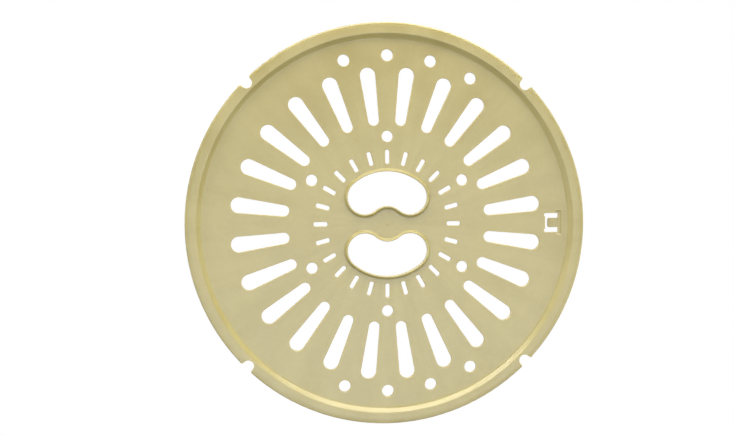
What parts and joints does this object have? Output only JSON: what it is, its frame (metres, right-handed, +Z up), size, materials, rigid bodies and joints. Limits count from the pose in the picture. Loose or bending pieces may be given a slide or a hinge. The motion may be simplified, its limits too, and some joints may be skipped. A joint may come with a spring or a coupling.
{
  "type": "spin dryer inner cover",
  "caption": "Round slotted inner cover for a spin dryer drum, with two lipped finger holes, a raised notched rim and a springy latch tongue.",
  "frame": {"origin": "centre of the flat underside of the plate", "axes": "+Z up out of the drum, square to the plate; +X towards the latch; the finger holes lie at +Y and -Y"},
  "size_m": [0.25, 0.25, 0.0052],
  "materials": {
    "cover_plastic": "beige polypropylene, satin, slightly translucent",
    "tongue_plastic": "beige polypropylene, satin, slightly translucent"
  },
  "bodies": {
    "cover": {"cover_disc": "cover_plastic"},
    "latch": {"latch_tongue": "tongue_plastic"}
  },
  "joints": [
    {"name": "latch_flex", "type": "hinge", "parent": "cover", "child": "latch", "pos_m": [0.1093, 0, 0.0008], "axis": [0, 1, 0], "range_deg": [-10, 10], "stiffness_Nm_per_rad": 0.3}
  ]
}
